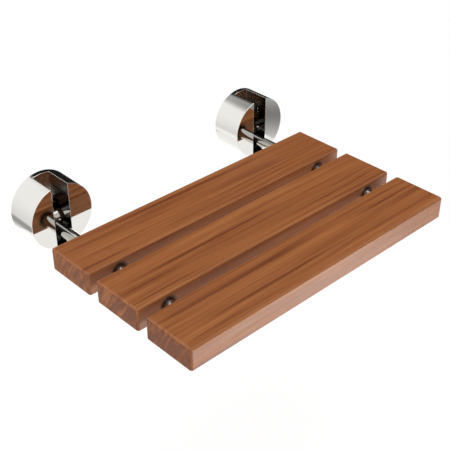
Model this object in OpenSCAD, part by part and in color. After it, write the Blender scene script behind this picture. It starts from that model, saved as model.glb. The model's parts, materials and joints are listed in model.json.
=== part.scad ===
// Fold-down wall seat: three hardwood slats on two round bars, each bar hinged in a slotted round housing.
// Millimetres. +X runs along the wall, +Y points into the wall and +Z up. The wall is the plane y = 0.
// The origin lies on the wall, midway between the housings and at the height of their middles.
// The seat is drawn folded down, ready for use.

/* [Slats] */
// Length of a slat, along the wall
slat_l = 512; // [460:2:720]
// Depth of a slat, from its wall side to its room side
slat_w = 87.5; // [60:0.5:110]
// Thickness of a slat
slat_t = 37.5; // [33:0.5:44]
// Open gap between two slats
slat_gap = 17; // [8:0.5:40]
// Rounding of the slat's edges and corners
slat_round = 4; // [1:0.5:5]

/* [Arms] */
// Distance between the two arms, and between the two housings
arm_pitch = 406.4; // [300:0.2:470]
// Diameter of the arm's round bar
bar_d = 19; // [15:0.5:20]
// Bevel round the bar's front end
bar_bevel = 1; // [0.5:0.5:2]
// Wood left in front of the bar in the front slat
bar_cover = 19.5; // [10:0.5:30]
// Width of the flat-sided eye that turns on the pin
eye_w = 20; // [18:0.5:23]
// Radius of the eye
eye_r = 11.5; // [10.5:0.5:12.5]
// Radius of the stop heel's foot about the pin
heel_r = 24; // [20:0.5:26]
// Thickness of the stop heel, from its wall side to its room side
heel_t = 14; // [10:0.5:18]

/* [Hinge] */
// Diameter of the pivot pin
pin_d = 12; // [8:0.5:13]
// Height of the pin above the lowest point of the housing
pin_rise = 32.7; // [30:0.1:35]
// Space between the wall and the seat when it is folded up
wall_gap = 8; // [6:0.5:9]
// Space between the housing's front edge and the seat that swings up past it
fold_gap = 1.5; // [1:0.05:12]
// Wall of the plain bush between the eye and the pin
bush_t = 1.5; // [1:0.1:2]
// Length of each bush inside the eye
bush_l = 8.5; // [6:0.5:8.5]
// Thickness of the bush's flange
flange_t = 1; // [0.6:0.1:1.5]
// Reach of the flange beyond the bush's wall
flange_rim = 2; // [1:0.25:2.5]

/* [Wall brackets] */
// Thickness of the bracket's round plate
plate_t = 8; // [7:0.5:9]
// Thickness of each ear that carries the pin
ear_t = 8; // [5:0.5:9]
// Radius of the ear round the pin
ear_r = 10.5; // [9:0.5:12]
// Distance of a wall screw hole from the ear, as a share of the room between ear and rim
screw_ear_share = 0.4; // [0.38:0.01:0.46]
// Distance of a wall screw hole from the rim, as a share of that room
screw_rim_share = 0.375; // [0.33:0.005:0.4]
// Diameter of a wall screw hole
screw_hole_d = 6.5; // [5:0.1:7]
// Diameter of its countersink
screw_head_d = 12.5; // [10:0.5:13]

/* [Housings] */
// Outer diameter of the housing
housing_d = 105; // [96:0.5:116]
// Depth of the housing, from the wall to its front face
housing_h = 54; // [46:0.5:70]
// Width of the slot that the arm swings in
slot_w = 28; // [26:0.5:30]
// Wall thickness of the hollow shell
shell_t = 4; // [3:0.5:4.5]
// Thickness of the front face
front_t = 5; // [3:0.5:8]
// Bevel round the front edge
edge_bevel = 0.6; // [0.2:0.1:1.5]
// Angle of each clamping screw from the lowest point
grub_angle = 20; // [15:1:40]
// Diameter of a clamping screw
grub_d = 5; // [3:0.5:6]

/* [Buffers] */
// Width of a buffer
pad_w = 16; // [10:0.5:20]
// Height of a buffer
pad_h = 8; // [6:0.5:8]
// Thickness of the buffer that the heel rests on
pad_t = 3; // [2:0.5:3.5]
// Diameter of the buffer's stem
stem_d = 5; // [3:0.5:5.5]
// Length of the buffer's stem
stem_l = 4; // [2:0.5:6]

/* [Slat fixings] */
// Wall of the sleeve between the bar and the wood
sleeve_t = 2; // [1:0.25:2.5]
// Diameter of the screw that fixes a slat to a bar
fix_d = 5; // [4:0.5:6]
// Length of its thread inside the bar
fix_grip = 6.5; // [4:0.5:8]
// Diameter of its head
head_d = 10; // [8:0.5:12]
// Height of its head
head_h = 2.8; // [2:0.2:4]
// Diameter of the washer under the head
washer_d = 13; // [12:0.5:18]
// Thickness of that washer
washer_t = 1.2; // [0.8:0.1:2]

/* [Hidden] */
$fn = 72;

// Colours
teak = [0.55, 0.30, 0.16];
nickel = [0.80, 0.77, 0.71];
steel = [0.66, 0.67, 0.68];
acetal = [0.12, 0.12, 0.12];

// The two sides
left = -1;
right = 1;
sides = [left, right];

// Cuts run this far past the faces that they open
overrun = 1;
// Radial clearance of the pin in what turns on it
running_fit = 0.05;
// Radial clearance of a piece that is pushed into its seat and stays there
seat_fit = 0.02;
// Radial clearance of a screw's thread in its tapped hole
thread_fit = 0.05;
// Radial clearance of a screw's shank in a plain hole
shank_gap = 0.25;
// Radial clearance of the bracket's plate in the housing
plate_gap = 0.15;
// Clearance between the slot's wall and the ear behind it
ear_gap = 0.5;
// Clearance between the eye and the bracket's plate
eye_gap = 0.5;
// Play of the eye along the pin, at each side
side_play = 0.1;
// Clearance that a buffer keeps at the end of the travel
stop_gap = 0.1;
// Radial clearance of a spacer in the notch that it passes through
notch_gap = 0.5;
// Rise of the folding buffer above the eye
fold_pad_rise = 3;
// Gap between the bar's end and the bottom of its hole in the front slat
bar_end_gap = 0.5;
// Depth that a tapped or blind hole has beyond what goes into it
blind_gap = 1;
// Step that the wall screws' places are rounded to
place_step = 1;

function in_steps(place) = place_step * round(place / place_step);

// Pin: where it lies, and the groove and clip at each end
pin_r = pin_d / 2;
pin_out = plate_t + eye_gap + eye_r;
pin_z = pin_rise - housing_d / 2;
clip_t = 1.1;
clip_play = 0.1;
clip_depth = 0.8;
clip_rim = 3;
clip_mouth_share = 0.8;
pin_tail = 1.2;
pin_bevel = 0.5;
groove_r = pin_r - clip_depth;
clip_r = pin_r + clip_rim;

// Eye, bushes and spacers on the pin
bush_in_r = pin_r + running_fit;
bush_r = bush_in_r + bush_t;
flange_r = bush_r + flange_rim;
notch_r = flange_r + notch_gap;
heel_reach = pin_out - plate_t - pad_t - stop_gap;

// Housing and bracket
housing_r = housing_d / 2;
hollow_r = housing_r - shell_t;
plate_r = hollow_r - plate_gap;
ear_in = slot_w / 2 + shell_t + ear_gap;
ear_out = ear_in + ear_t;
lobe_room = plate_r - ear_out;
screw_x = in_steps(ear_out + lobe_room * screw_ear_share);
screw_ring_r = plate_r - lobe_room * screw_rim_share;
screw_z = in_steps(sqrt(screw_ring_r * screw_ring_r - screw_x * screw_x));
countersink_h = (screw_head_d - screw_hole_d) / 2;
grub_sink = 0.5;
grub_point_gap = 0.05;
grub_key = 2.9;
grub_key_depth = 2;

// Bar: how far its middle lies below the pin, and its height
pin_lift = slat_t / 2 + wall_gap - pin_out;
bar_z = pin_z - pin_lift;

// Buffers
pad_bevel = 0.5;
heel_pad_z = pin_z - sqrt(heel_r * heel_r - heel_reach * heel_reach) + pad_h / 2;
fold_pad_z = pin_z + eye_r + fold_pad_rise + pad_h / 2;
fold_pad_t = pin_out + pin_lift - bar_d / 2 - plate_t - stop_gap;

// Seat: how near the pin it comes as it swings past the slot's upper front corners, how far each slat's wall
// side stands off the wall, and where the bar ends
slot_top = sqrt(housing_r * housing_r - slot_w * slot_w / 4);
corner_out = housing_h - pin_out;
corner_up = slot_top - pin_z;
swing_r = sqrt(corner_out * corner_out + corner_up * corner_up) + fold_gap;
slat_pitch = slat_w + slat_gap;
seat_out = pin_out + swing_r;
rows = [0, 1, 2];
front_row = rows[len(rows) - 1];
bar_end = seat_out + front_row * slat_pitch + slat_w - bar_cover;

// Slat fixings
bar_r = bar_d / 2;
sleeve_in_r = bar_r + shank_gap / 2;
sleeve_r = sleeve_in_r + sleeve_t;
fix_r = fix_d / 2;
slat_under = bar_z - slat_t / 2;
head_top = slat_under - washer_t;
fix_tip = bar_z - bar_r + fix_grip;
head_bevel = 0.9;
fix_key = 3.5;
fix_key_depth = 1.8;

function slat_back(row) = seat_out + row * slat_pitch;
function slat_mid(row) = slat_back(row) + slat_w / 2;
function bore_end(row) = row == front_row ? bar_end + bar_end_gap : slat_back(row) + slat_w;
function bore_far(row) = row == front_row ? bore_end(row) : bore_end(row) + overrun;

// Moves what belongs to one side to that side
module on_side(side) {
    translate([side * arm_pitch / 2, 0, 0]) children();
}

// Moves what turns on the pin to the pin
module at_pin() {
    translate([0, -pin_out, pin_z]) children();
}

// A round solid that points out from the wall, between two distances from it
module out_rod(r, near, far) {
    translate([0, -near, 0]) rotate([90, 0, 0]) cylinder(h = far - near, r = r);
}

// A round solid along X, between two distances from the middle
module cross_rod(r, from, to) {
    translate([from, 0, 0]) rotate([0, 90, 0]) cylinder(h = to - from, r = r);
}

// A tube along X, between two distances from the middle
module cross_tube(r_out, r_in, from, to) {
    difference() {
        cross_rod(r_out, from, to);
        cross_rod(r_in, from - overrun, to + overrun);
    }
}

// An outline in Y and Z, given a width along X
module side_plate(w) {
    rotate([90, 0, 90]) linear_extrude(height = w, center = true) children();
}

// A block out from the wall, between two distances from it, centred on x = 0
module out_block(w, near, far, low, high) {
    translate([-w / 2, -far, low]) cube([w, far - near, high - low]);
}

// The slats

module round_rect(w, h, r) {
    square([w - 2 * r, h], center = true);
    square([w, h - 2 * r], center = true);
    for (x = [-1, 1], y = [-1, 1]) {
        translate([x * (w / 2 - r), y * (h / 2 - r)]) circle(r);
    }
}

module slat_blank() {
    intersection() {
        linear_extrude(height = slat_t, center = true) round_rect(slat_l, slat_w, slat_round);
        side_plate(slat_l) round_rect(slat_w, slat_t, slat_round);
        rotate([90, 0, 0]) linear_extrude(height = slat_w, center = true) {
            round_rect(slat_l, slat_t, slat_round);
        }
    }
}

module slat(row) {
    color(teak) difference() {
        translate([0, -slat_mid(row), bar_z]) slat_blank();
        for (side = sides) on_side(side) {
            translate([0, 0, bar_z]) {
                out_rod(sleeve_r + seat_fit, slat_back(row) - overrun, bore_far(row));
            }
            translate([0, -slat_mid(row), slat_under - overrun]) {
                cylinder(h = slat_t / 2 + overrun, r = fix_r + shank_gap);
            }
        }
    }
}

module slat_rear() { slat(rows[0]); }
module slat_middle() { slat(rows[1]); }
module slat_front() { slat(rows[2]); }

// The arms: a round bar, an eye and a stop heel in one piece

module arm_side_outline() {
    circle(eye_r);
    intersection() {
        circle(heel_r);
        translate([heel_reach - heel_t, -heel_r]) square([heel_t, heel_r]);
    }
}

module bar() {
    translate([0, 0, bar_z]) {
        out_rod(bar_r, pin_out, bar_end - bar_bevel);
        translate([0, -(bar_end - bar_bevel), 0]) rotate([90, 0, 0]) {
            cylinder(h = bar_bevel, r1 = bar_r, r2 = bar_r - bar_bevel);
        }
    }
}

module arm() {
    color(nickel) difference() {
        union() {
            bar();
            at_pin() side_plate(eye_w) arm_side_outline();
        }
        at_pin() cross_rod(bush_r + seat_fit, -eye_w / 2 - overrun, eye_w / 2 + overrun);
        for (row = rows) {
            translate([0, -slat_mid(row), bar_z - bar_r - overrun]) {
                cylinder(h = overrun + fix_grip + blind_gap, r = fix_r + thread_fit);
            }
        }
    }
}

module arm_left() { on_side(left) arm(); }
module arm_right() { on_side(right) arm(); }

// A flanged bush pushed into each side of the eye

module bush() {
    difference() {
        union() {
            cross_rod(bush_r, eye_w / 2 - bush_l, eye_w / 2);
            cross_rod(flange_r, eye_w / 2, eye_w / 2 + flange_t);
        }
        cross_rod(bush_in_r, eye_w / 2 - bush_l - overrun, eye_w / 2 + flange_t + overrun);
    }
}

module pivot_bushes() {
    color(acetal) at_pin() {
        bush();
        mirror([1, 0, 0]) bush();
    }
}

module pivot_bushes_left() { on_side(left) pivot_bushes(); }
module pivot_bushes_right() { on_side(right) pivot_bushes(); }

// Sleeves that line the slats' holes

module slat_sleeves() {
    color(acetal) for (row = rows) difference() {
        translate([0, 0, bar_z]) out_rod(sleeve_r, slat_back(row), bore_end(row));
        translate([0, 0, bar_z]) out_rod(sleeve_in_r, slat_back(row) - overrun, bore_end(row) + overrun);
        translate([0, -slat_mid(row), bar_z - sleeve_r - overrun]) {
            cylinder(h = sleeve_r + overrun, r = fix_r + shank_gap);
        }
    }
}

module slat_sleeves_left() { on_side(left) slat_sleeves(); }
module slat_sleeves_right() { on_side(right) slat_sleeves(); }

// Screws from below, through slat and sleeve into the bar

module slat_screw() {
    difference() {
        union() {
            translate([0, 0, head_top]) cylinder(h = fix_tip - head_top, r = fix_r);
            translate([0, 0, head_top - head_h]) {
                cylinder(h = head_bevel, r1 = head_d / 2 - head_bevel, r2 = head_d / 2);
                translate([0, 0, head_bevel]) cylinder(h = head_h - head_bevel, r = head_d / 2);
            }
        }
        translate([0, 0, head_top - head_h - overrun]) {
            cylinder(h = fix_key_depth + overrun, d = fix_key, $fn = 6);
        }
    }
}

module slat_washer() {
    translate([0, 0, head_top]) difference() {
        cylinder(h = washer_t, r = washer_d / 2);
        translate([0, 0, -overrun]) cylinder(h = washer_t + 2 * overrun, r = fix_r + shank_gap);
    }
}

module at_each_slat() {
    for (row = rows) translate([0, -slat_mid(row), 0]) children();
}

module slat_screws_left() { on_side(left) color(steel) at_each_slat() slat_screw(); }
module slat_screws_right() { on_side(right) color(steel) at_each_slat() slat_screw(); }
module slat_washers_left() { on_side(left) color(steel) at_each_slat() slat_washer(); }
module slat_washers_right() { on_side(right) color(steel) at_each_slat() slat_washer(); }

// The housings: a hollow round shell with a slot from the top down to the shell's lowest part

module housing_blank() {
    rotate([90, 0, 0]) rotate_extrude() polygon([
        [0, 0],
        [housing_r, 0],
        [housing_r, housing_h - edge_bevel],
        [housing_r - edge_bevel, housing_h],
        [0, housing_h]
    ]);
}

module housing_hollow() {
    difference() {
        out_rod(hollow_r, -overrun, housing_h - front_t);
        out_block(slot_w + 2 * shell_t, plate_t, housing_h, -housing_r, housing_r);
    }
}

module arm_slot() {
    out_block(slot_w, plate_t, housing_h + overrun, 0, housing_r + overrun);
    intersection() {
        out_block(slot_w, plate_t, housing_h + overrun, -housing_r, overrun);
        out_rod(hollow_r, 0, housing_h + 2 * overrun);
    }
}

module notch_outline() {
    circle(notch_r);
    translate([0, -notch_r]) square([pin_out - plate_t + overrun, 2 * notch_r]);
}

module at_each_grub() {
    for (turn = [-1, 1]) {
        rotate([0, turn * grub_angle, 0]) translate([0, -plate_t / 2, 0]) children();
    }
}

module housing() {
    color(nickel) difference() {
        housing_blank();
        housing_hollow();
        arm_slot();
        at_pin() side_plate(slot_w + 2 * shell_t + 2 * overrun) notch_outline();
        at_each_grub() {
            translate([0, 0, -housing_r - overrun]) {
                cylinder(h = shell_t + 2 * overrun, r = grub_d / 2 + thread_fit);
            }
        }
    }
}

module housing_left() { on_side(left) housing(); }
module housing_right() { on_side(right) housing(); }

// Clamping screws in the housing's underside, which bear on the bracket's rim

module housing_screws() {
    color(steel) at_each_grub() difference() {
        translate([0, 0, -housing_r + grub_sink]) {
            cylinder(h = housing_r - grub_sink - plate_r - grub_point_gap, r = grub_d / 2);
        }
        translate([0, 0, -housing_r - overrun]) {
            cylinder(h = overrun + grub_sink + grub_key_depth, d = grub_key, $fn = 6);
        }
    }
}

module housing_screws_left() { on_side(left) housing_screws(); }
module housing_screws_right() { on_side(right) housing_screws(); }

// The brackets: a round plate with two ears, behind the housing's lobes

module ear_outline() {
    circle(ear_r);
    translate([0, -ear_r]) square([pin_out - plate_t / 2, 2 * ear_r]);
}

module ears() {
    intersection() {
        out_rod(plate_r, 0, housing_h - front_t);
        at_pin() for (side = sides) {
            translate([side * (ear_in + ear_t / 2), 0, 0]) side_plate(ear_t) ear_outline();
        }
    }
}

module wall_screw_hole() {
    out_rod(screw_hole_d / 2, -overrun, plate_t + overrun);
    translate([0, -plate_t + countersink_h, 0]) rotate([90, 0, 0]) {
        cylinder(h = countersink_h, r1 = screw_hole_d / 2, r2 = screw_head_d / 2);
        translate([0, 0, countersink_h]) cylinder(h = overrun, r = screw_head_d / 2);
    }
}

module wall_bracket() {
    color(nickel) difference() {
        union() {
            out_rod(plate_r, 0, plate_t);
            ears();
        }
        at_pin() cross_rod(pin_r + seat_fit, -ear_out - overrun, ear_out + overrun);
        for (x = [-1, 1], z = [-1, 1]) {
            translate([x * screw_x, 0, z * screw_z]) wall_screw_hole();
        }
        for (z = [heel_pad_z, fold_pad_z]) {
            translate([0, 0, z]) {
                out_rod(stem_d / 2 + seat_fit, plate_t - stem_l - blind_gap, plate_t + overrun);
            }
        }
    }
}

module wall_bracket_left() { on_side(left) wall_bracket(); }
module wall_bracket_right() { on_side(right) wall_bracket(); }

// The pin through eye and ears, with a groove for a clip near each end

module pivot_pin() {
    groove = ear_out + clip_play;
    end = groove + clip_t + 2 * clip_play + pin_tail;
    color(steel) at_pin() difference() {
        union() {
            cross_rod(pin_r, -end + pin_bevel, end - pin_bevel);
            for (turn = [0, 180]) rotate([0, 0, turn]) {
                translate([end - pin_bevel, 0, 0]) rotate([0, 90, 0]) {
                    cylinder(h = pin_bevel, r1 = pin_r, r2 = pin_r - pin_bevel);
                }
            }
        }
        for (turn = [0, 180]) rotate([0, 0, turn]) {
            cross_tube(pin_r + overrun, groove_r, groove, groove + clip_t + clip_play);
        }
    }
}

module pivot_pin_left() { on_side(left) pivot_pin(); }
module pivot_pin_right() { on_side(right) pivot_pin(); }

// A spring clip in each groove

module pin_clip() {
    near = ear_out + clip_play + clip_play / 2;
    difference() {
        cross_tube(clip_r, groove_r + seat_fit, near, near + clip_t);
        translate([near - overrun, -groove_r * clip_mouth_share, 0]) {
            cube([clip_t + 2 * overrun, 2 * groove_r * clip_mouth_share, clip_r + overrun]);
        }
    }
}

module pin_clips() {
    color(steel) at_pin() for (turn = [0, 180]) rotate([0, 0, turn]) pin_clip();
}

module pin_clips_left() { on_side(left) pin_clips(); }
module pin_clips_right() { on_side(right) pin_clips(); }

// Spacers that keep the eye in the middle, between the bushes and the ears

module thrust_spacers() {
    color(acetal) at_pin() for (turn = [0, 180]) rotate([0, 0, turn]) {
        cross_tube(flange_r, bush_in_r, eye_w / 2 + flange_t + side_play, ear_in);
    }
}

module thrust_spacers_left() { on_side(left) thrust_spacers(); }
module thrust_spacers_right() { on_side(right) thrust_spacers(); }

// Buffers in the bracket's plate: the heel rests on one, and the bar meets the other when it is folded up

module buffer(t) {
    color(acetal) difference() {
        union() {
            out_block(pad_w, plate_t, plate_t + t, -pad_h / 2, pad_h / 2);
            out_rod(stem_d / 2, plate_t - stem_l, plate_t + t / 2);
        }
        for (edge = sides) {
            translate([edge * pad_w / 2, -plate_t - t, 0]) rotate([0, 0, 45]) {
                cube([pad_bevel * sqrt(2), pad_bevel * sqrt(2), pad_h + 2 * overrun], center = true);
            }
        }
    }
}

module rest_buffer_left() { on_side(left) translate([0, 0, heel_pad_z]) buffer(pad_t); }
module rest_buffer_right() { on_side(right) translate([0, 0, heel_pad_z]) buffer(pad_t); }
module fold_buffer_left() { on_side(left) translate([0, 0, fold_pad_z]) buffer(fold_pad_t); }
module fold_buffer_right() { on_side(right) translate([0, 0, fold_pad_z]) buffer(fold_pad_t); }

slat_rear();
slat_middle();
slat_front();
arm_left();
arm_right();
pivot_bushes_left();
pivot_bushes_right();
slat_sleeves_left();
slat_sleeves_right();
slat_screws_left();
slat_screws_right();
slat_washers_left();
slat_washers_right();
housing_left();
housing_right();
housing_screws_left();
housing_screws_right();
wall_bracket_left();
wall_bracket_right();
pivot_pin_left();
pivot_pin_right();
pin_clips_left();
pin_clips_right();
thrust_spacers_left();
thrust_spacers_right();
rest_buffer_left();
rest_buffer_right();
fold_buffer_left();
fold_buffer_right();
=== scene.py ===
import json
import math

import bmesh
import bpy
from mathutils import Matrix, Vector


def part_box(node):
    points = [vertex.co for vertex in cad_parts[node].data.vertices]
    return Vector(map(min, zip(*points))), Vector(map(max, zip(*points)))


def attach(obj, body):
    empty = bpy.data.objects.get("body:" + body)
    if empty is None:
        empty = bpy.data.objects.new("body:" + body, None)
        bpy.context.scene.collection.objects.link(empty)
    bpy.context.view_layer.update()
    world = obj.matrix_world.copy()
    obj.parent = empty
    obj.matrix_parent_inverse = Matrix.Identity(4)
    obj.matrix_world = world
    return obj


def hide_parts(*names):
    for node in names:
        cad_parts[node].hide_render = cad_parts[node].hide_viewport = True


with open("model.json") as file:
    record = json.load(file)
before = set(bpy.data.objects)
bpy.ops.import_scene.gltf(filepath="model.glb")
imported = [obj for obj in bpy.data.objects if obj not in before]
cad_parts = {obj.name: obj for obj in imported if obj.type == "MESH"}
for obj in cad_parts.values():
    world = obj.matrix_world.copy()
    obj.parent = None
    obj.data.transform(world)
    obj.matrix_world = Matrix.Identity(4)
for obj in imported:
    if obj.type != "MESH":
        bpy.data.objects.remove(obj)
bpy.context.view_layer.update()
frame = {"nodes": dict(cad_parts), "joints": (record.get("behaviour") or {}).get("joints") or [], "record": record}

mm = 0.001
SIDES = ("left", "right")
ROWS = ("rear", "middle", "front")


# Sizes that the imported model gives

def middle(node):
    """The middle of a node's box."""
    low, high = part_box(node)
    return (low + high) / 2


def size(node):
    """The lengths of a node's box."""
    low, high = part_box(node)
    return high - low


ARM_LOW, ARM_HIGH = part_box("arm_left")
HINGE = Vector(frame["joints"][0]["pos_m"])
HOUSING_R = size("housing_left").x / 2
HOUSING_H = size("housing_left").y
BAR_Z = middle("slat_rear").z
BAR_FRONT = -ARM_LOW.y
SLEEVE_R = size("slat_sleeves_left").x / 2
SCREW_DISTANCES = [-middle(f"slat_{row}").y for row in ROWS]
HEEL_FOOT = HINGE.z - ARM_LOW.z
EYE_R = ARM_HIGH.z - HINGE.z
HEEL_REACH = ARM_HIGH.y - HINGE.y
FLANGE_R = size("thrust_spacers_left").z / 2

# Housing: slot, bracket plate behind it, shell, front, room round the hinge, rounded rims, clamping screws
# and their angle from straight down, in degrees
SLOT_W = 28 * mm
PLATE_T = 8 * mm
SHELL_T = 4 * mm
FRONT_T = 5 * mm
NOTCH_GAP = 0.5 * mm
RIM_BEVEL = 0.65 * mm
GRUB_R = 2.55 * mm
GRUB_ANGLE = 20

# Arm: bar, chamfer of its front end, eye, heel, seat of the bushes, threads of the slat screws
BAR_R = 9.5 * mm
BAR_BEVEL = 1 * mm
EYE_W = 20 * mm
HEEL_T = 14 * mm
BUSH_R = 7.57 * mm
TAP_R = 2.55 * mm
TAP_DEPTH = 7.5 * mm

# Slat: rounded edges, eased mouths of the bores, room past the bar's front end, screw holes
SLAT_ROUND = 4 * mm
HOLE_EASE = 0.4 * mm
BAR_END_GAP = 0.5 * mm
SCREW_HOLE_R = 2.75 * mm

# How far cutters stand proud, and the play between faces that would otherwise share one plane
OVERRUN = 1 * mm
SEAT_FIT = 0.02 * mm

# Fineness of round shapes and of rounded edges
ROUND_STEPS = 96
BAR_STEPS = 128
RIM_STEPS = 152
HOLLOW_STEPS = 192
TAP_STEPS = 32
SCREW_HOLE_STEPS = 48
SLOT_STEPS = 14
NOTCH_STEPS = 40
RIM_BEVEL_STEPS = 3
SLAT_ROUND_STEPS = 6

# Edges that get rounded, edges that stay crisp in the shading, and how much large faces count there
SHARP_ANGLE = math.radians(30)
CRISP_ANGLE = math.radians(40)
SLAT_CRISP_ANGLE = math.radians(35)
ROUND_PROFILE = 0.5
FACE_WEIGHT = 50


# Mesh helpers

def new_object(name, bm):
    """An object in the scene with the mesh that was built."""
    mesh = bpy.data.meshes.new(name)
    bm.to_mesh(mesh)
    bm.free()
    obj = bpy.data.objects.new(name, mesh)
    bpy.context.scene.collection.objects.link(obj)
    return obj


def rod(name, start, end, radius, end_radius=None, steps=ROUND_STEPS):
    """A closed round solid between two points."""
    start, end = Vector(start), Vector(end)
    along = end - start
    turn = along.to_track_quat("Z", "Y").to_matrix().to_4x4()
    bm = bmesh.new()
    bmesh.ops.create_cone(bm, cap_ends=True, segments=steps, radius1=radius,
                          radius2=radius if end_radius is None else end_radius, depth=along.length)
    bmesh.ops.transform(bm, matrix=Matrix.Translation((start + end) / 2) @ turn, verts=bm.verts)
    return new_object(name, bm)


def block(name, low, high):
    """A closed block between two corners."""
    low, high = Vector(low), Vector(high)
    bm = bmesh.new()
    bmesh.ops.create_cube(bm, size=1)
    scaled = Matrix.Diagonal((*(high - low), 1))
    bmesh.ops.transform(bm, matrix=Matrix.Translation((low + high) / 2) @ scaled, verts=bm.verts)
    return new_object(name, bm)


def prism(name, outline, shift):
    """A closed solid between an outline in space and the same outline shifted."""
    bm = bmesh.new()
    base = [bm.verts.new(point) for point in outline]
    ends = [bm.verts.new(Vector(point) + Vector(shift)) for point in outline]
    bm.faces.new(base)
    bm.faces.new(ends[::-1])
    for i in range(len(base)):
        j = (i + 1) % len(base)
        bm.faces.new((base[j], base[i], ends[i], ends[j]))
    bmesh.ops.recalc_face_normals(bm, faces=bm.faces)
    return new_object(name, bm)


def turned(name, x, z, profile):
    """A closed round solid along Y, given by its places and radii."""
    bm = bmesh.new()
    turns = [2 * math.pi * i / ROUND_STEPS for i in range(ROUND_STEPS)]
    rings = []
    for y, radius in profile:
        rings.append([bm.verts.new((x + radius * math.cos(t), y, z + radius * math.sin(t))) for t in turns])
    bm.faces.new(rings[0])
    bm.faces.new(rings[-1][::-1])
    for first, second in zip(rings, rings[1:]):
        for i in range(ROUND_STEPS):
            j = (i + 1) % ROUND_STEPS
            bm.faces.new((first[i], first[j], second[j], second[i]))
    bmesh.ops.recalc_face_normals(bm, faces=bm.faces)
    return new_object(name, bm)


def apply_modifiers(obj):
    """Turns the object's modifiers into its mesh."""
    graph = bpy.context.evaluated_depsgraph_get()
    mesh = bpy.data.meshes.new_from_object(obj.evaluated_get(graph))
    obj.modifiers.clear()
    obj.data = mesh


def combine(obj, tools, operation="DIFFERENCE"):
    """Cuts the tools from the object, or joins them to it, and deletes them."""
    for tool in tools:
        cut = obj.modifiers.new(tool.name, "BOOLEAN")
        cut.object = tool
        cut.operation = operation
        cut.solver = "EXACT"
    apply_modifiers(obj)
    for tool in tools:
        bpy.data.objects.remove(tool)


def bevel_sharp(obj, width, steps, chosen):
    """Rounds the sharp edges for which chosen is true."""
    bm = bmesh.new()
    bm.from_mesh(obj.data)
    edges = [e for e in bm.edges if e.is_manifold and e.calc_face_angle(0) > SHARP_ANGLE and chosen(e)]
    bmesh.ops.bevel(bm, geom=edges, offset=width, segments=steps, profile=ROUND_PROFILE, affect="EDGES",
                    clamp_overlap=True)
    bm.to_mesh(obj.data)
    bm.free()


def smooth(obj, crisp=CRISP_ANGLE):
    """Smooth shading with flat faces kept flat."""
    for polygon in obj.data.polygons:
        polygon.use_smooth = True
    obj.data.set_sharp_from_angle(angle=crisp)
    even = obj.modifiers.new("even_shading", "WEIGHTED_NORMAL")
    even.keep_sharp = True
    even.weight = FACE_WEIGHT


def finish_piece(obj, body, slot, material, *nodes):
    """Gives a piece its material and body, and hides the nodes that it stands for. The slot is not used."""
    obj.data.materials.clear()
    obj.data.materials.append(material)
    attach(obj, body)
    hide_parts(*nodes)


# Material helpers

NOISE_MIDDLE = 0.5
# Inputs and output that the Mix node uses for colours
MIX_SHARE = 0
MIX_FIRST = 6
MIX_SECOND = 7
MIX_RESULT = 2


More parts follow.
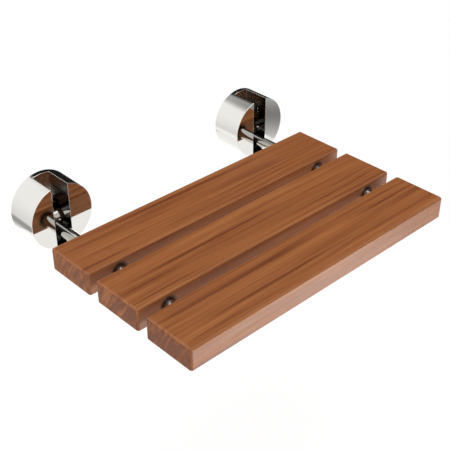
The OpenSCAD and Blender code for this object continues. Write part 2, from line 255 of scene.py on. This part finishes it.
class Nodes:
    """The node tree of a material or a world, with short calls for the nodes that they share.

    A noise is given by its waves to the metre along X, Y and Z, its detail and its roughness.
    """

    def __init__(self, owner):
        owner.use_nodes = True
        self.owner = owner
        self.tree = owner.node_tree

    def put(self, node, key, value):
        """Links a socket to an input, or sets its value."""
        if isinstance(value, bpy.types.NodeSocket):
            self.tree.links.new(value, node.inputs[key])
        else:
            node.inputs[key].default_value = value

    def new(self, kind, inputs=None, **settings):
        """A new node."""
        node = self.tree.nodes.new(kind)
        for key, value in settings.items():
            setattr(node, key, value)
        for key, value in (inputs or {}).items():
            self.put(node, key, value)
        return node

    def add(self, kind, output=0, **settings):
        """One output of a new node."""
        return self.new(kind, **settings).outputs[output]

    def place(self):
        """The point in the object's own space."""
        return self.add("ShaderNodeTexCoord", "Object")

    def path(self):
        """The kinds and depths of the light ray."""
        return self.new("ShaderNodeLightPath").outputs

    def parts(self, vector):
        """The X, Y and Z of a vector."""
        return self.new("ShaderNodeSeparateXYZ", {0: vector}).outputs

    def moved(self, vector, by):
        return self.add("ShaderNodeVectorMath", operation="ADD", inputs={0: vector, 1: by})

    def stretched(self, vector, by):
        return self.add("ShaderNodeVectorMath", operation="MULTIPLY", inputs={0: vector, 1: by})

    def noise(self, vector, waves, detail, roughness, output="Fac"):
        """Noise about NOISE_MIDDLE."""
        return self.add("ShaderNodeTexNoise", output,
                        inputs={"Vector": self.stretched(vector, waves), "Scale": 1.0, "Detail": detail,
                                "Roughness": roughness})

    def math(self, operation, a, b=0.0, c=0.0):
        return self.add("ShaderNodeMath", operation=operation, inputs={0: a, 1: b, 2: c})

    def swayed(self, value, noise, amount):
        """The value, raised and lowered by noise."""
        return self.math("MULTIPLY_ADD", self.math("SUBTRACT", noise, NOISE_MIDDLE), amount, value)

    def span(self, value, low, high, to_low=0.0, to_high=1.0, soft=False):
        """The value carried from one range to another and kept inside it."""
        return self.add("ShaderNodeMapRange", interpolation_type="SMOOTHSTEP" if soft else "LINEAR",
                        inputs={"Value": value, "From Min": low, "From Max": high,
                                "To Min": to_low, "To Max": to_high})

    def ramp(self, value, stops):
        """The colour at a value between 0 and 1."""
        node = self.new("ShaderNodeValToRGB", {"Fac": value})
        elements = node.color_ramp.elements
        while len(elements) < len(stops):
            elements.new(1.0)
        for element, (place, colour) in zip(elements, stops):
            element.position = place
            element.color = (*colour, 1)
        return node.outputs["Color"]

    def mix(self, share, first, second):
        """The first colour, changed to the second by a share."""
        inputs = {MIX_SHARE: share, MIX_FIRST: first, MIX_SECOND: second}
        for key, value in inputs.items():
            if isinstance(value, tuple):
                inputs[key] = (*value, 1)
        return self.add("ShaderNodeMix", MIX_RESULT, data_type="RGBA", inputs=inputs)

    def bump(self, height, strength, distance):
        return self.add("ShaderNodeBump", "Normal",
                        inputs={"Height": height, "Strength": strength, "Distance": distance})

    def shader(self):
        """The shader that a new material has."""
        return self.tree.nodes["Principled BSDF"]

    def set(self, **values):
        """Sets inputs of that shader, written with underscores, and returns the material."""
        for key, value in values.items():
            self.put(self.shader(), key.replace("_", " "), value)
        return self.owner

    def blend(self, share, first, second):
        """The first shader, changed to the second by a share."""
        return self.add("ShaderNodeMixShader", inputs={0: share, 1: first, 2: second})

    def show(self, shader, output):
        """Links a shader to the tree's output node."""
        self.put(self.tree.nodes[output], "Surface", shader)


# Teak

# Colours from the darkest wood to the lightest
TEAK_STOPS = [
    (0.00, (0.162, 0.039, 0.009)),
    (0.25, (0.238, 0.065, 0.015)),
    (0.50, (0.313, 0.097, 0.024)),
    (0.75, (0.371, 0.124, 0.031)),
    (1.00, (0.437, 0.157, 0.041)),
]
# Painted shade: a dark ring on the wood round each bore, where the bars enter the boards
BORE_SHADE_COLOUR = (0.045, 0.014, 0.005)
BORE_SHADE_WIDTH = 5 * mm
BORE_SHADE_SHARE = 0.80

# Noises in the wood, and how far each changes the tone
GRAIN_LAYERS = {
    "bands": (((2.2, 64, 34), 3.0, 0.55), 0.95),
    "lines": (((3, 210, 110), 2.0, 0.5), 1.10),
    "fine": (((7, 420, 260), 3.0, 0.6), 0.55),
    "clouds": (((7, 18, 18), 2.0, 0.5), 0.40),
}

# How far the noise moves from board to board, and how the grain drifts from a straight line
BOARD_STEP = (1.37, 0.61, 0.29)
DRIFT = ((4, 14, 14), 3.0, 0.5)
DRIFT_REACH = (0, 14 * mm, 10 * mm)

# Streaks of the wood in mm: middle along the board, half length, place across, half width, and darkness,
# which is below zero for a light streak
STREAKS = [
    (-80, 190, 53.5, 4.0, 0.56),
    (-120, 200, 15.0, 7.5, 0.42),
    (170, 100, 25.0, 4.5, 0.32),
    (-205, 80, 69.6, 3.6, 0.36),
    (-190, 90, 95.0, 3.8, 0.40),
    (75, 130, 84.4, 3.6, 0.32),
    (-220, 60, 115.0, 4.2, 0.32),
    (40, 110, 118.5, 3.2, 0.28),
    (-180, 110, 61.0, 3.2, -0.32),
    (70, 200, 93.0, 2.6, -0.26),
    (0, 420, 35.0, 13.0, -0.16),
    (-200, 60, 103.0, 3.2, -0.26),
]
# Where the middle of each slat lies across the streaks, in mm
FIGURE_PLACE = {"rear": 85.9, "middle": 64.9, "front": 39.7}
# Part of its length where a streak is full, part of the drift that it follows, and its slopes
STREAK_CORE_SHARE = 0.25
STREAK_DRIFT_SHARE = 0.55
STREAK_RISE = 0.35
STREAK_SKEW = 0.006

# Tones of the long faces and of the sawn ends, and the rings on the ends, which lean by some degrees
FACE_TONE = 0.52
END_TONE = {"rear": 0.32, "middle": 0.17, "front": 0.04}
END_RANGE = (0.75, 0.98)
END_GRAIN_SHARE = 0.6
END_ROUGHNESS = 0.22
RINGS = ((1, 190, 26), 2.0, 0.5)
RING_LEAN = -33
RING_AMOUNT = 1.9

# Open pores, the skin of the oiled wood and the relief of both
PORES = ((90, 2600, 2600), 1.0, 0.5)
PORE_RANGE = (0.60, 0.72)
PORE_SHARE = 0.22
PORE_COLOUR = (0.13, 0.040, 0.016)
PORE_DEPTH = 0.8
FINE_HEIGHT = 0.6
FINE_RANGE = (0.3, 0.7)
TEAK_ROUGHNESS = (0.36, 0.48)
TEAK_BUMP = (0.25, 0.12 * mm)
TEAK_IOR = 1.5
TEAK_GLOSS_TINT = (1.0, 0.98, 0.84, 1.0)


def streak(n, along, across, entry):
    """What one streak adds to the tone at a point of the board."""
    middle_at, half_length, across_at, half_width, dark = entry
    reach = n.math("ABSOLUTE", n.math("SUBTRACT", along, middle_at * mm))
    near = n.span(reach, half_length * mm, half_length * STREAK_CORE_SHARE * mm, soft=True)
    apart = n.math("ABSOLUTE", n.math("SUBTRACT", across, across_at * mm))
    core = n.span(apart, half_width * mm, 0.0, soft=True)
    return n.math("MULTIPLY", n.math("MULTIPLY", near, core), -dark)


def with_streaks(n, tone, row, board, drift):
    """The tone with the streaks, which lean with the height and the length of the board."""
    figure = n.moved(board, (0, -middle(f"slat_{row}").y - FIGURE_PLACE[row] * mm, 0))
    parts = n.parts(n.moved(figure, n.stretched(drift, (0, STREAK_DRIFT_SHARE, 0))))
    along = parts["X"]
    across = n.math("MULTIPLY_ADD", parts["Y"], -1.0, n.math("MULTIPLY", parts["Z"], STREAK_RISE))
    across = n.math("SUBTRACT", across, n.math("MULTIPLY", along, STREAK_SKEW))
    for entry in STREAKS:
        tone = n.math("ADD", tone, streak(n, along, across, entry))
    return tone


def end_share(n):
    """1 on the sawn ends of a board and 0 on its long faces."""
    facing = n.parts(n.add("ShaderNodeNewGeometry", "Normal"))["X"]
    return n.span(n.math("ABSOLUTE", facing), *END_RANGE, soft=True)


def with_ends(n, tone, row, grain, ends):
    """The tone with leaning rings and a darker ground on the sawn ends."""
    leaning = n.add("ShaderNodeVectorRotate", rotation_type="X_AXIS",
                    inputs={"Vector": grain, "Angle": math.radians(RING_LEAN)})
    rings = n.swayed(0.0, n.noise(leaning, *RINGS), RING_AMOUNT)
    tone = n.math("MULTIPLY", tone, n.span(ends, 0, 1, 1.0, END_GRAIN_SHARE))
    tone = n.math("ADD", tone, n.math("MULTIPLY", ends, rings))
    return n.math("ADD", tone, n.span(ends, 0, 1, FACE_TONE, END_TONE[row]))


def painted_bore_shade(n, board):
    """Share of the painted shade, a darker ring on the wood round the bores of the two bars."""
    parts = n.parts(board)
    aside = n.math("SUBTRACT", n.math("ABSOLUTE", parts["X"]), middle("arm_right").x)
    above = n.math("SUBTRACT", parts["Z"], BAR_Z)
    apart = n.math("SQRT", n.math("MULTIPLY_ADD", aside, aside, n.math("MULTIPLY", above, above)))
    return n.span(apart, SLEEVE_R + BORE_SHADE_WIDTH, SLEEVE_R, 0.0, BORE_SHADE_SHARE, soft=True)


def teak(name, row, seed):
    """Oiled teak with its grain along X. Bands, streaks and pores run through the whole board."""
    n = Nodes(bpy.data.materials.new(name))
    board = n.place()
    place = n.moved(board, tuple(seed * step for step in BOARD_STEP))
    drift = n.moved(n.noise(place, *DRIFT, "Color"), (-NOISE_MIDDLE, -NOISE_MIDDLE, -NOISE_MIDDLE))
    drift = n.stretched(drift, DRIFT_REACH)
    grain = n.moved(place, drift)
    tone = 0.0
    layers = {}
    for layer, (noise, amount) in GRAIN_LAYERS.items():
        layers[layer] = n.noise(grain, *noise)
        tone = n.swayed(tone, layers[layer], amount)
    tone = with_streaks(n, tone, row, board, drift)
    ends = end_share(n)
    colour = n.ramp(with_ends(n, tone, row, grain, ends), TEAK_STOPS)
    # The painted shade round the bores runs through the board, and the front slat's bores don't reach its front
    # face
    if row != "front":
        colour = n.mix(painted_bore_shade(n, board), colour, BORE_SHADE_COLOUR)
    pores = n.span(n.noise(grain, *PORES), *PORE_RANGE, 0.0, PORE_SHARE)
    fine = layers["fine"]
    height = n.math("MULTIPLY_ADD", fine, FINE_HEIGHT, n.math("MULTIPLY", pores, -PORE_DEPTH))
    skin = n.span(fine, *FINE_RANGE, *TEAK_ROUGHNESS)
    return n.set(Base_Color=n.mix(pores, colour, PORE_COLOUR), IOR=TEAK_IOR, Specular_Tint=TEAK_GLOSS_TINT,
                 Roughness=n.math("ADD", skin, n.math("MULTIPLY", ends, END_ROUGHNESS)),
                 Normal=n.bump(height, *TEAK_BUMP))


# Nickel, steel and plastic

NICKEL_COLOURS = ((0.593, 0.581, 0.554), (0.611, 0.601, 0.574))
MIRROR_ROUGHNESS = (0.015, 0.045)
DULL_ROUGHNESS = (0.15, 0.19)
HAZE = ((40, 40, 40), 4.0, 0.6)
HAZE_RANGE = (0.35, 0.7)

STEEL_COLOURS = ((0.52, 0.52, 0.51), (0.66, 0.655, 0.64))
STEEL_ROUGHNESS = (0.22, 0.40)
STEEL_STAIN = ((120, 120, 120), 3.0, 0.5)
TURNING = ((900, 900, 4000), 2.0, 0.5)
TURNING_RANGE = (0.3, 0.7)
TURNING_BUMP = (0.15, 0.04 * mm)

ACETAL_COLOURS = ((0.050, 0.018, 0.008), (0.075, 0.027, 0.012))
ACETAL_ROUGHNESS = (0.55, 0.70)
ACETAL_SPECULAR = 0.2
SCUFF = ((90, 90, 90), 3.0, 0.5)
SCUFF_RANGE = (0.3, 0.7)
SCUFF_COLOUR_RANGE = (0.45, 0.75)
SKIN = ((1500, 1500, 1500), 3.0, 0.6)
SKIN_BUMP = (0.12, 0.03 * mm)


def nickel(name, roughness):
    """Nickel with faint polishing haze, between two roughnesses."""
    n = Nodes(bpy.data.materials.new(name))
    haze = n.noise(n.place(), *HAZE)
    return n.set(Base_Color=n.mix(haze, *NICKEL_COLOURS), Metallic=1.0,
                 Roughness=n.span(haze, *HAZE_RANGE, *roughness))


def steel(name):
    """Turned stainless steel."""
    n = Nodes(bpy.data.materials.new(name))
    place = n.place()
    turning = n.noise(place, *TURNING)
    stain = n.noise(place, *STEEL_STAIN)
    return n.set(Base_Color=n.mix(stain, *STEEL_COLOURS), Metallic=1.0,
                 Roughness=n.span(turning, *TURNING_RANGE, *STEEL_ROUGHNESS),
                 Normal=n.bump(turning, *TURNING_BUMP))


def acetal(name):
    """Dark brown moulded plastic with a dull skin."""
    n = Nodes(bpy.data.materials.new(name))
    place = n.place()
    skin = n.noise(place, *SKIN)
    scuff = n.noise(place, *SCUFF)
    return n.set(Base_Color=n.mix(n.span(scuff, *SCUFF_COLOUR_RANGE), *ACETAL_COLOURS),
                 Roughness=n.span(scuff, *SCUFF_RANGE, *ACETAL_ROUGHNESS),
                 Specular_IOR_Level=ACETAL_SPECULAR, Normal=n.bump(skin, *SKIN_BUMP))


# Housings

def slot_cutter(x, half, inner_r):
    """The slot's volume, closed below by the inner face of the shell."""
    low_angle = math.asin(half / inner_r)
    top = HOUSING_R + OVERRUN
    outline = [(x - half, -PLATE_T, top), (x + half, -PLATE_T, top)]
    for step in range(SLOT_STEPS + 1):
        angle = low_angle * (1 - 2 * step / SLOT_STEPS)
        outline.append((x + inner_r * math.sin(angle), -PLATE_T, -inner_r * math.cos(angle)))
    return prism("slot", outline, (0, PLATE_T - HOUSING_H - OVERRUN, 0))


def notch_cutter(x, wall):
    """Room for the hinge in the slot's walls, open towards the back."""
    radius = FLANGE_R + NOTCH_GAP
    start = x - wall - OVERRUN
    back = -PLATE_T + OVERRUN
    outline = [(start, back, HINGE.z - radius), (start, back, HINGE.z + radius)]
    for step in range(NOTCH_STEPS + 1):
        angle = math.pi * step / NOTCH_STEPS
        outline.append((start, HINGE.y - radius * math.sin(angle), HINGE.z + radius * math.cos(angle)))
    return prism("notch", outline, (2 * (wall + OVERRUN), 0, 0))


def grub_cutter(x, inner_r, degrees):
    """The threaded hole of a clamping screw in the underside of the shell."""
    angle = math.radians(degrees)
    down = Vector((math.sin(angle), 0, -math.cos(angle)))
    middle_at = Vector((x, -PLATE_T / 2, 0))
    start = middle_at + down * (inner_r - OVERRUN)
    end = middle_at + down * (HOUSING_R + OVERRUN)
    return rod("tapped_hole", start, end, GRUB_R, steps=TAP_STEPS)


def hollow_cutter(x, wall, inner_r):
    """The room inside the shell beside the slot's walls, with the notch and the holes that open into it."""
    obj = rod("hollow", (x, OVERRUN, 0), (x, FRONT_T - HOUSING_H, 0), inner_r, steps=HOLLOW_STEPS)
    keep = block("keep", (x - wall, -HOUSING_H, -HOUSING_R), (x + wall, -PLATE_T - SEAT_FIT, HOUSING_R))
    combine(obj, [keep])
    holes = [grub_cutter(x, inner_r, degrees) for degrees in (-GRUB_ANGLE, GRUB_ANGLE)]
    combine(obj, [notch_cutter(x, wall), *holes], "UNION")
    return obj


def off_the_wall(edge):
    """True for an edge that doesn't lie on the wall."""
    first, second = edge.verts
    return (first.co.y + second.co.y) / 2 < -OVERRUN


def housing(side, material):
    """A hollow round shell with a slot for the arm, from the top down to the shell's lowest part."""
    x = middle(f"housing_{side}").x
    inner_r = HOUSING_R - SHELL_T
    half = SLOT_W / 2
    obj = rod(f"housing_shell_{side}", (x, 0, 0), (x, -HOUSING_H, 0), HOUSING_R, steps=RIM_STEPS)
    combine(obj, [slot_cutter(x, half, inner_r)])
    bevel_sharp(obj, RIM_BEVEL, RIM_BEVEL_STEPS, off_the_wall)
    combine(obj, [hollow_cutter(x, half + SHELL_T, inner_r)])
    smooth(obj)
    finish_piece(obj, "wall_fixture", "polished_nickel", material, f"housing_{side}")


# Arms

def hinge_rod(name, x, half, radius, steps=ROUND_STEPS):
    """A round solid about the hinge's axis."""
    return rod(name, (x - half, HINGE.y, HINGE.z), (x + half, HINGE.y, HINGE.z), radius, steps=steps)


def heel(x, half):
    """The stop behind the eye: a slice of a round solid about the hinge."""
    obj = hinge_rod("heel", x, half, HEEL_FOOT, BAR_STEPS)
    back = HINGE.y + HEEL_REACH
    low = (x - half - OVERRUN, back - HEEL_T, HINGE.z - HEEL_FOOT - OVERRUN)
    high = (x + half + OVERRUN, back, HINGE.z)
    combine(obj, [block("heel_block", low, high)], "INTERSECT")
    return obj


def arm(side, material):
    """A round bar with the eye and the stop heel."""
    x = middle(f"arm_{side}").x
    half = EYE_W / 2
    front = (x, BAR_BEVEL - BAR_FRONT, BAR_Z)
    obj = rod(f"arm_bar_{side}", (x, HINGE.y, BAR_Z), front, BAR_R, steps=BAR_STEPS)
    nose = rod("nose", front, (x, -BAR_FRONT, BAR_Z), BAR_R, BAR_R - BAR_BEVEL, BAR_STEPS)
    combine(obj, [nose, hinge_rod("eye", x, half, EYE_R), heel(x, half)], "UNION")
    tools = [hinge_rod("bush_seat", x, half + OVERRUN, BUSH_R)]
    underside = BAR_Z - BAR_R
    for distance in SCREW_DISTANCES:
        start = (x, -distance, underside - OVERRUN)
        end = (x, -distance, underside + TAP_DEPTH)
        tools.append(rod("tapped_hole", start, end, TAP_R, steps=TAP_STEPS))
    combine(obj, tools)
    smooth(obj)
    finish_piece(obj, "seat", "polished_nickel", material, f"arm_{side}")


# Slats

def bore_cutter(x, low, high):
    """The bore of a bar with eased mouths. In the front slat it ends just past the end of the bar."""
    hole_r = SLEEVE_R + SEAT_FIT
    wide_r = hole_r + 2 * HOLE_EASE
    profile = [(high + HOLE_EASE, wide_r), (high - HOLE_EASE, hole_r)]
    if low < -BAR_FRONT:
        profile.append((-(BAR_FRONT + BAR_END_GAP), hole_r))
    else:
        profile += [(low + HOLE_EASE, hole_r), (low - HOLE_EASE, wide_r)]
    return turned("bore", x, BAR_Z, profile)


def slat(row, material):
    """A board with eased edges, bored for the two bars and drilled for their screws."""
    node = f"slat_{row}"
    low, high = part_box(node)
    obj = block(f"teak_board_{row}", low, high)
    ease = obj.modifiers.new("ease", "BEVEL")
    ease.width = SLAT_ROUND
    ease.segments = SLAT_ROUND_STEPS
    apply_modifiers(obj)
    y = (low.y + high.y) / 2
    tools = []
    for side in SIDES:
        x = middle(f"arm_{side}").x
        tools.append(bore_cutter(x, low.y, high.y))
        tools.append(rod("screw_hole", (x, y, low.z - OVERRUN), (x, y, BAR_Z), SCREW_HOLE_R,
                         steps=SCREW_HOLE_STEPS))
    combine(obj, tools)
    smooth(obj, SLAT_CRISP_ANGLE)
    finish_piece(obj, "seat", "teak", material, node)


# Camera at the photograph's viewing angle

CAMERA_AT = (-0.80934, -1.04687, 0.74071)
CAMERA_AZIMUTH = -43.1715
CAMERA_ELEVATION = 33.5906
CAMERA_ROLL = -0.0715
CAMERA_LENS = 74.4
SENSOR_WIDTH = 36
CAMERA_NEAR = 0.01
CAMERA_FAR = 100


def camera():
    """Sets the camera that was fitted to the photograph."""
    azimuth, elevation, roll = map(math.radians, (CAMERA_AZIMUTH, CAMERA_ELEVATION, CAMERA_ROLL))
    back = Vector((math.sin(azimuth) * math.cos(elevation), -math.cos(azimuth) * math.cos(elevation),
                   math.sin(elevation)))
    right = (-back).cross(Vector((0, 0, 1))).normalized()
    up = right.cross(-back)
    turned_right = right * math.cos(roll) + up * math.sin(roll)
    turned_up = up * math.cos(roll) - right * math.sin(roll)
    data = bpy.data.cameras.new("camera")
    data.sensor_width = SENSOR_WIDTH
    data.lens = CAMERA_LENS
    data.clip_start = CAMERA_NEAR
    data.clip_end = CAMERA_FAR
    obj = bpy.data.objects.new("camera", data)
    facing = Matrix((turned_right, turned_up, back)).transposed().to_4x4()
    obj.matrix_world = Matrix.Translation(CAMERA_AT) @ facing
    bpy.context.scene.collection.objects.link(obj)
    bpy.context.scene.camera = obj


# Studio, in metres and degrees. An azimuth runs from +Y towards +X

WHITE = (1, 1, 1, 1)
# How much brighter mirroring faces see the studio, and what is left of it past so many mirror images
MIRROR_GAIN = 1.35
DEEP_LEVEL = 0.12
DEEP_RANGE = (2, 3)

FLOOR_Z = -0.45
FLOOR_LOW = (-2.5, -2.5)
FLOOR_HIGH = (0.80, 0.46)
FLOOR_COLOURS = ((0.80, 0.80, 0.80), (0.82, 0.82, 0.82))
FLOOR_NOISE = ((3, 3, 3), 2.0, 0.5)
FLOOR_SHADOW = (0.12, 0.12, 0.12, 1)
FLOOR_LEVEL = 0.92
# Bright panels on the floor, before and under the seat: where each starts and is full, in x and in y
FRONT_PANEL = (("X", ((-0.25, -0.05), (0.80, 0.66))), ("Y", ((-0.68, -0.75), (-1.40, -1.20))))
FRONT_LEVEL = 5.0
UNDER_PANEL = (("X", ((-0.40, -0.30), (0.40, 0.30))), ("Y", ((0.10, 0.00), (-0.50, -0.40))))
UNDER_LEVEL = 3.6

# Levels of the studio by elevation. The ramp holds them as shares of its top
HEIGHTS = [(-90, 1.10), (-30, 1.08), (-22, 0.82), (-14, 0.87), (-3, 0.95), (14, 1.02), (90, 1.02)]
RAMP_TOP = 2.0
ALL_ROUND = 180
ZENITH = 90
# Sectors of the studio: middle azimuth, half width, softness, lowest and highest elevation, softness,
# and the levels that polished faces and the plain light see, where None leaves the level as it is
SECTORS = [
    (0, 100, 25, 47.5, 62, 7.5, 0.20, 0.26),
    (0, 180, 0, 62, 100, 5.0, 2.20, 2.55),
    (200, 38, 12, -3, 60, 6.0, 0.85, 0.25),
    (137, 26, 8, -3, 43, 4.0, 0.05, 0.05),
    (172, 70, 15, 10, 60, 6.0, None, 0.25),
    (-90, 30, 12, -5, 60, 6.0, 0.95, 0.75),
    (172, 42, 15, -30, 8, 5.0, None, 2.60),
    (131, 14, 6, -28.1, -25.4, 1.5, 0.22, 0.90),
    (-15, 20, 4, -42.5, -27, 5.5, 0.36, 0.90),
]
# Round dark card: azimuth, elevation, angular radius, softness and the same two levels
DARK_CARD = (45, 10, 45, 6, 0.012, 0.50)


def faded(n, level):
    """Brightness of the studio: more for mirroring faces, and less where they mirror each other."""
    path = n.path()
    glossy = path["Is Glossy Ray"]
    deep = n.math("MULTIPLY", glossy, n.span(path["Glossy Depth"], *DEEP_RANGE))
    level = n.math("MULTIPLY", level, n.span(glossy, 0, 1, 1.0, MIRROR_GAIN))
    return n.math("MULTIPLY", level, n.span(deep, 0, 1, 1.0, DEEP_LEVEL))


def panel_share(n, panel):
    """Share of a bright panel at a point of the floor."""
    parts = n.parts(n.place())
    share = 1.0
    for axis, edges in panel:
        for start, full in edges:
            share = n.math("MULTIPLY", share, n.span(parts[axis], start, full, soft=True))
    return share


def floor_material():
    """Pale floor. Camera and mirrors see it white, and it lights the rest as a plain floor with a panel."""
    n = Nodes(bpy.data.materials.new("pale_floor"))
    path = n.path()
    seen = n.math("MAXIMUM", path["Is Camera Ray"], path["Is Glossy Ray"])
    seen = n.math("MAXIMUM", seen, path["Is Transmission Ray"])
    under = n.math("MULTIPLY", panel_share(n, UNDER_PANEL), UNDER_LEVEL)
    colour = n.mix(n.noise(n.place(), *FLOOR_NOISE), *FLOOR_COLOURS)
    n.set(Base_Color=colour, Roughness=1.0, Emission_Color=WHITE, Emission_Strength=under)
    level = n.math("MULTIPLY_ADD", panel_share(n, FRONT_PANEL), FRONT_LEVEL - FLOOR_LEVEL, FLOOR_LEVEL)
    shadow = n.add("ShaderNodeBsdfDiffuse", inputs={"Color": FLOOR_SHADOW})
    white = n.add("ShaderNodeEmission", inputs={"Color": WHITE, "Strength": faded(n, level)})
    pale = n.add("ShaderNodeAddShader", inputs={0: shadow, 1: white})
    n.show(n.blend(seen, n.shader().outputs[0], pale), "Material Output")
    return n.owner


def floor():
    """The floor under the seat, which isn't part of the object."""
    (low_x, low_y), (high_x, high_y) = FLOOR_LOW, FLOOR_HIGH
    corners = ((low_x, low_y), (high_x, low_y), (high_x, high_y), (low_x, high_y))
    bm = bmesh.new()
    bm.faces.new([bm.verts.new((x, y, FLOOR_Z)) for x, y in corners])
    obj = new_object("floor", bm)
    obj.data.materials.append(floor_material())


def direction_of(azimuth, elevation):
    """The unit vector towards an azimuth and an elevation."""
    turn, rise = math.radians(azimuth), math.radians(elevation)
    return (math.sin(turn) * math.cos(rise), math.cos(turn) * math.cos(rise), math.sin(rise))


def toward(n, level, share, other):
    """The level, changed to another by a share."""
    return n.math("ADD", level, n.math("MULTIPLY", n.math("SUBTRACT", other, level), share))


def angle_share(n, direction, target, radius, soft):
    """1 within an angle of the target, and 0 outside it, with a soft edge."""
    near = n.add("ShaderNodeVectorMath", "Value", operation="DOT_PRODUCT", inputs={0: direction, 1: target})
    outside = math.cos(math.radians(radius + soft))
    inside = math.cos(math.radians(radius - soft))
    return n.span(near, outside, inside, soft=True)


def height_share(n, height, low, high, soft):
    """1 between two elevations, and 0 outside them, with soft edges. At the zenith there is no edge."""
    edges = (low - soft, low + soft, high + soft, high - soft)
    rise = [math.sin(math.radians(min(ZENITH, angle))) for angle in edges]
    share = n.span(height, rise[0], rise[1], soft=True)
    if high < ZENITH:
        share = n.math("MULTIPLY", share, n.span(height, rise[2], rise[3], soft=True))
    return share


def sky_level(n, height):
    """The studio's level by elevation, from a ramp over the height of the direction."""
    stops = []
    for angle, level in HEIGHTS:
        tone = level / RAMP_TOP
        stops.append(((math.sin(math.radians(angle)) + 1) / 2, (tone, tone, tone)))
    return n.math("MULTIPLY", n.ramp(n.span(height, -1, 1), stops), RAMP_TOP)


def with_sectors(n, level, direction, height, glossy):
    """The level, changed in each sector."""
    flat = n.add("ShaderNodeVectorMath", operation="NORMALIZE", inputs={0: n.stretched(direction, (1, 1, 0))})
    for azimuth, half, soft, low, high, edge, mirrored, plain in SECTORS:
        share = height_share(n, height, low, high, edge)
        if half < ALL_ROUND:
            share = n.math("MULTIPLY", share, angle_share(n, flat, direction_of(azimuth, 0), half, soft))
        polished = level if mirrored is None else mirrored
        level = toward(n, level, share, n.span(glossy, 0, 1, plain, polished))
    return level


def with_dark_card(n, level, direction, glossy):
    """The level with the round dark card."""
    azimuth, elevation, radius, soft, mirrored, plain = DARK_CARD
    share = angle_share(n, direction, direction_of(azimuth, elevation), radius, soft)
    return toward(n, level, share, n.span(glossy, 0, 1, plain, mirrored))


def studio():
    """Soft light all round, and plain white where the camera looks past the object."""
    world = bpy.data.worlds.new("studio")
    bpy.context.scene.world = world
    n = Nodes(world)
    path = n.path()
    glossy = path["Is Glossy Ray"]
    direction = n.add("ShaderNodeTexCoord", "Generated")
    height = n.parts(direction)["Z"]
    level = with_sectors(n, sky_level(n, height), direction, height, glossy)
    level = with_dark_card(n, level, direction, glossy)
    shade = n.add("ShaderNodeCombineColor", inputs={0: level, 1: level, 2: level})
    light = n.add("ShaderNodeBackground", inputs={"Color": shade, "Strength": faded(n, 1.0)})
    white = n.add("ShaderNodeBackground", inputs={"Color": WHITE, "Strength": 1.0})
    n.show(n.blend(path["Is Camera Ray"], light, white), "World Output")


# The whole scene

def dress_nodes(finishes, dull):
    """Gives the carried-over solids their finishes. The brackets, mostly hidden, get the dull nickel."""
    for part in frame["record"]["subparts"]:
        if part["material_slot"] in finishes:
            bracket = part["node"].startswith("wall_bracket")
            obj = frame["nodes"][part["node"]]
            obj.data.materials.clear()
            obj.data.materials.append(dull if bracket else finishes[part["material_slot"]])


def make_all():
    """Camera, floor, light, the new pieces and the carried-over solids."""
    camera()
    floor()
    studio()
    polished = nickel("polished_nickel", MIRROR_ROUGHNESS)
    for side in SIDES:
        housing(side, polished)
        arm(side, polished)
    for seed, row in enumerate(ROWS, 1):
        slat(row, teak(f"teak_{row}", row, seed))
    finishes = {"polished_nickel": polished, "stainless_steel": steel("stainless_steel"),
                "acetal": acetal("acetal")}
    dress_nodes(finishes, nickel("plain_nickel", DULL_ROUGHNESS))
    bpy.context.scene.view_settings.view_transform = "Standard"


make_all()
